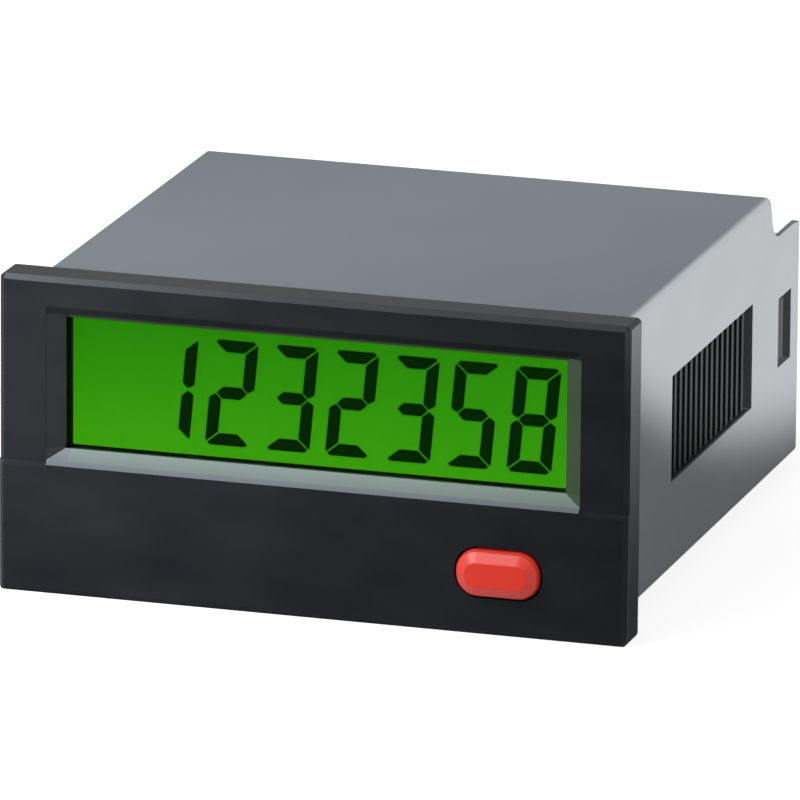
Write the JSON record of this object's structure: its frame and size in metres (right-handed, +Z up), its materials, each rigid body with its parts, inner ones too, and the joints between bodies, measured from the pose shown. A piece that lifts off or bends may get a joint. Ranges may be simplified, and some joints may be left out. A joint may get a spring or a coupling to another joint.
{
  "type": "digital counter",
  "caption": "Small panel-mounted pulse counter with a backlit green liquid crystal display, a red reset button, a vented sleeve housing and screw terminals at the rear.",
  "frame": {"origin": "centre of the panel cut-out, in the plane where the back of the bezel meets the panel", "axes": "+X to the right as seen from the front, +Y rearwards into the panel, +Z up"},
  "size_m": [0.048, 0.0531, 0.024],
  "materials": {
    "front_bezel": "moulded dark grey plastic with a fine satin grain",
    "display_window": "thin clear pane",
    "display_gasket": "black foam gasket",
    "lcd_front_glass": "clear glass with a polariser film",
    "lcd_segments": "dark liquid crystal segments",
    "lcd_rear_glass": "clear glass with a polariser film",
    "light_guide": "green lit diffuser",
    "backlight_leds": "small diode packages",
    "contact_strip": "elastomer contact strip",
    "display_board": "green circuit board with solder mask",
    "reset_button": "satin red plastic",
    "switch_body": "black push switch",
    "switch_plunger": "pale plunger",
    "board_connector": "black pin header with gilt pins",
    "housing": "moulded mid grey plastic with a fine grain",
    "main_board": "green circuit board with solder mask",
    "battery_cell": "nickel plated steel can",
    "battery_tabs": "welded nickel strip",
    "microcontroller": "black moulded package with tinned leads",
    "crystal": "small metal can",
    "filter_capacitors": "aluminium cans on a dark base",
    "optocouplers": "black moulded packages with tinned leads",
    "chip_resistors": "small ceramic chips",
    "terminal_block": "dark grey moulded plastic",
    "terminal_cages": "zinc plated steel",
    "terminal_screws": "zinc plated steel",
    "terminal_pins": "tinned brass",
    "rear_cover": "dark grey moulded plastic"
  },
  "bodies": {
    "case": {"front_bezel": "front_bezel", "display_window": "display_window", "display_gasket": "display_gasket", "lcd_front_glass": "lcd_front_glass", "lcd_segments": "lcd_segments", "lcd_rear_glass": "lcd_rear_glass", "light_guide": "light_guide", "backlight_leds": "backlight_leds", "contact_strip": "contact_strip", "display_board": "display_board", "switch_body": "switch_body", "board_connector": "board_connector", "housing": "housing", "main_board": "main_board", "battery_cell": "battery_cell", "battery_tabs": "battery_tabs", "microcontroller": "microcontroller", "crystal": "crystal", "filter_capacitors": "filter_capacitors", "optocouplers": "optocouplers", "chip_resistors": "chip_resistors", "terminal_block": "terminal_block", "terminal_cages": "terminal_cages", "terminal_screws": "terminal_screws", "terminal_pins": "terminal_pins", "rear_cover": "rear_cover"},
    "button": {"reset_button": "reset_button", "switch_plunger": "switch_plunger"}
  },
  "joints": [
    {"name": "reset_press", "type": "slide", "parent": "case", "child": "button", "axis": [0, 1, 0], "range_m": [0, 0.0006], "stiffness_N_per_m": 1500, "springref_m": -0.0004}
  ]
}
